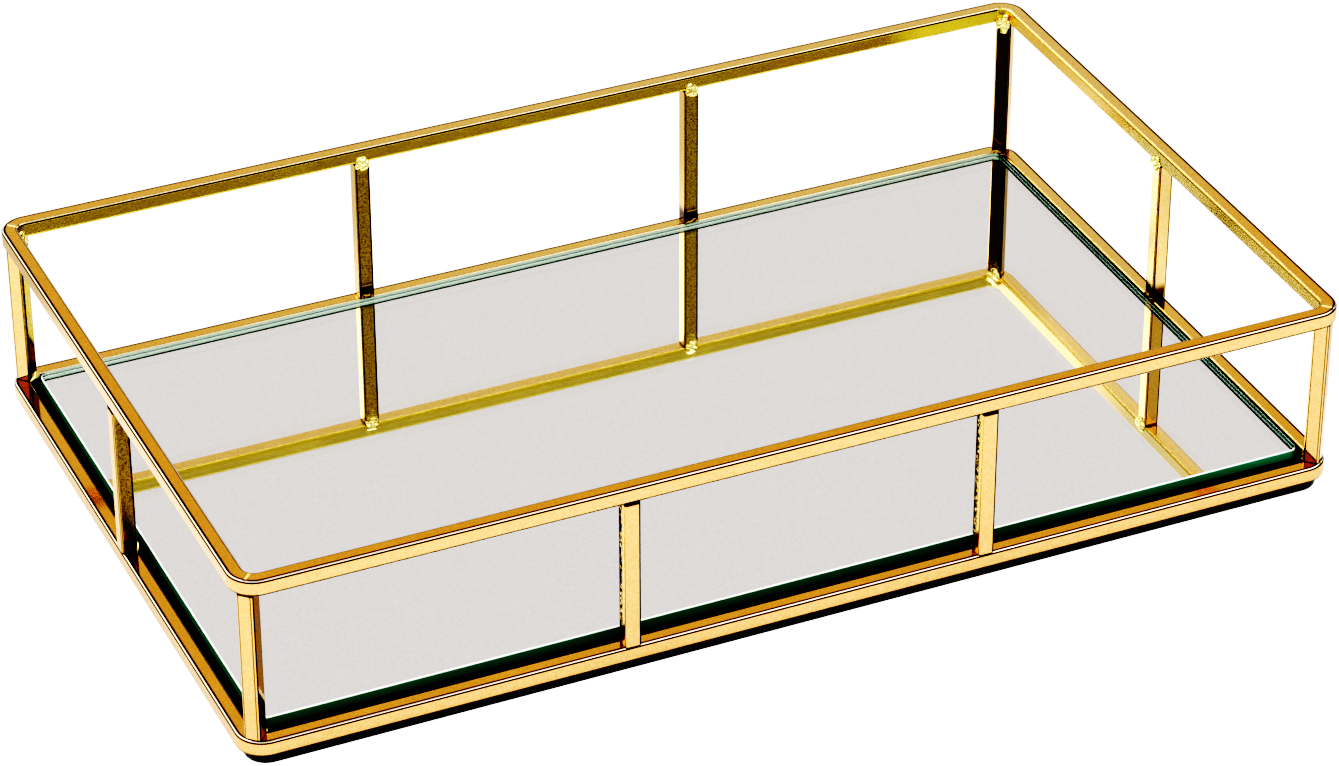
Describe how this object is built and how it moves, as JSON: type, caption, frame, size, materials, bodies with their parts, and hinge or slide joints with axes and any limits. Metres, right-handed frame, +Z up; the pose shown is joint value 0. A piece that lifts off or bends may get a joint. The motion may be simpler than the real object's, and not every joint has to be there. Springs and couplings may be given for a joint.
{
  "type": "vanity tray",
  "caption": "Rectangular mirrored vanity tray: a mirror plate inside a low open gallery of welded square bar, on a soft base pad.",
  "frame": {"origin": "middle of the base pad's underside, on the surface the tray rests on", "axes": "+X along the long sides, to the right as seen from the front; +Y from front to back; +Z up"},
  "size_m": [0.31, 0.19, 0.056],
  "materials": {
    "gold_bar": "polished gold plating",
    "weld_bead": "polished gold plating over as-laid weld",
    "glass_plate": "clear float glass with a ground edge",
    "silvering": "mirror",
    "foam_tape": "matt",
    "black_board": "matt black",
    "black_pad": "pebbled matt black"
  },
  "bodies": {
    "root": {"bottom_front_rail": "gold_bar", "bottom_right_rail": "gold_bar", "bottom_back_rail": "gold_bar", "bottom_left_rail": "gold_bar", "top_front_rail": "gold_bar", "top_right_rail": "gold_bar", "top_back_rail": "gold_bar", "top_left_rail": "gold_bar", "front_left_side_post": "gold_bar", "front_right_side_post": "gold_bar", "right_end_post": "gold_bar", "back_right_side_post": "gold_bar", "back_left_side_post": "gold_bar", "left_end_post": "gold_bar", "front_left_corner_post": "gold_bar", "front_right_corner_post": "gold_bar", "back_right_corner_post": "gold_bar", "back_left_corner_post": "gold_bar", "foot_side_weld_beads": "weld_bead", "foot_corner_weld_beads": "weld_bead", "rim_side_weld_beads": "weld_bead", "rim_corner_weld_beads": "weld_bead", "mirror_glass": "glass_plate", "mirror_silvering": "silvering", "mirror_tape": "foam_tape", "backing_board": "black_board", "base_pad": "black_pad"}
  },
  "joints": []
}
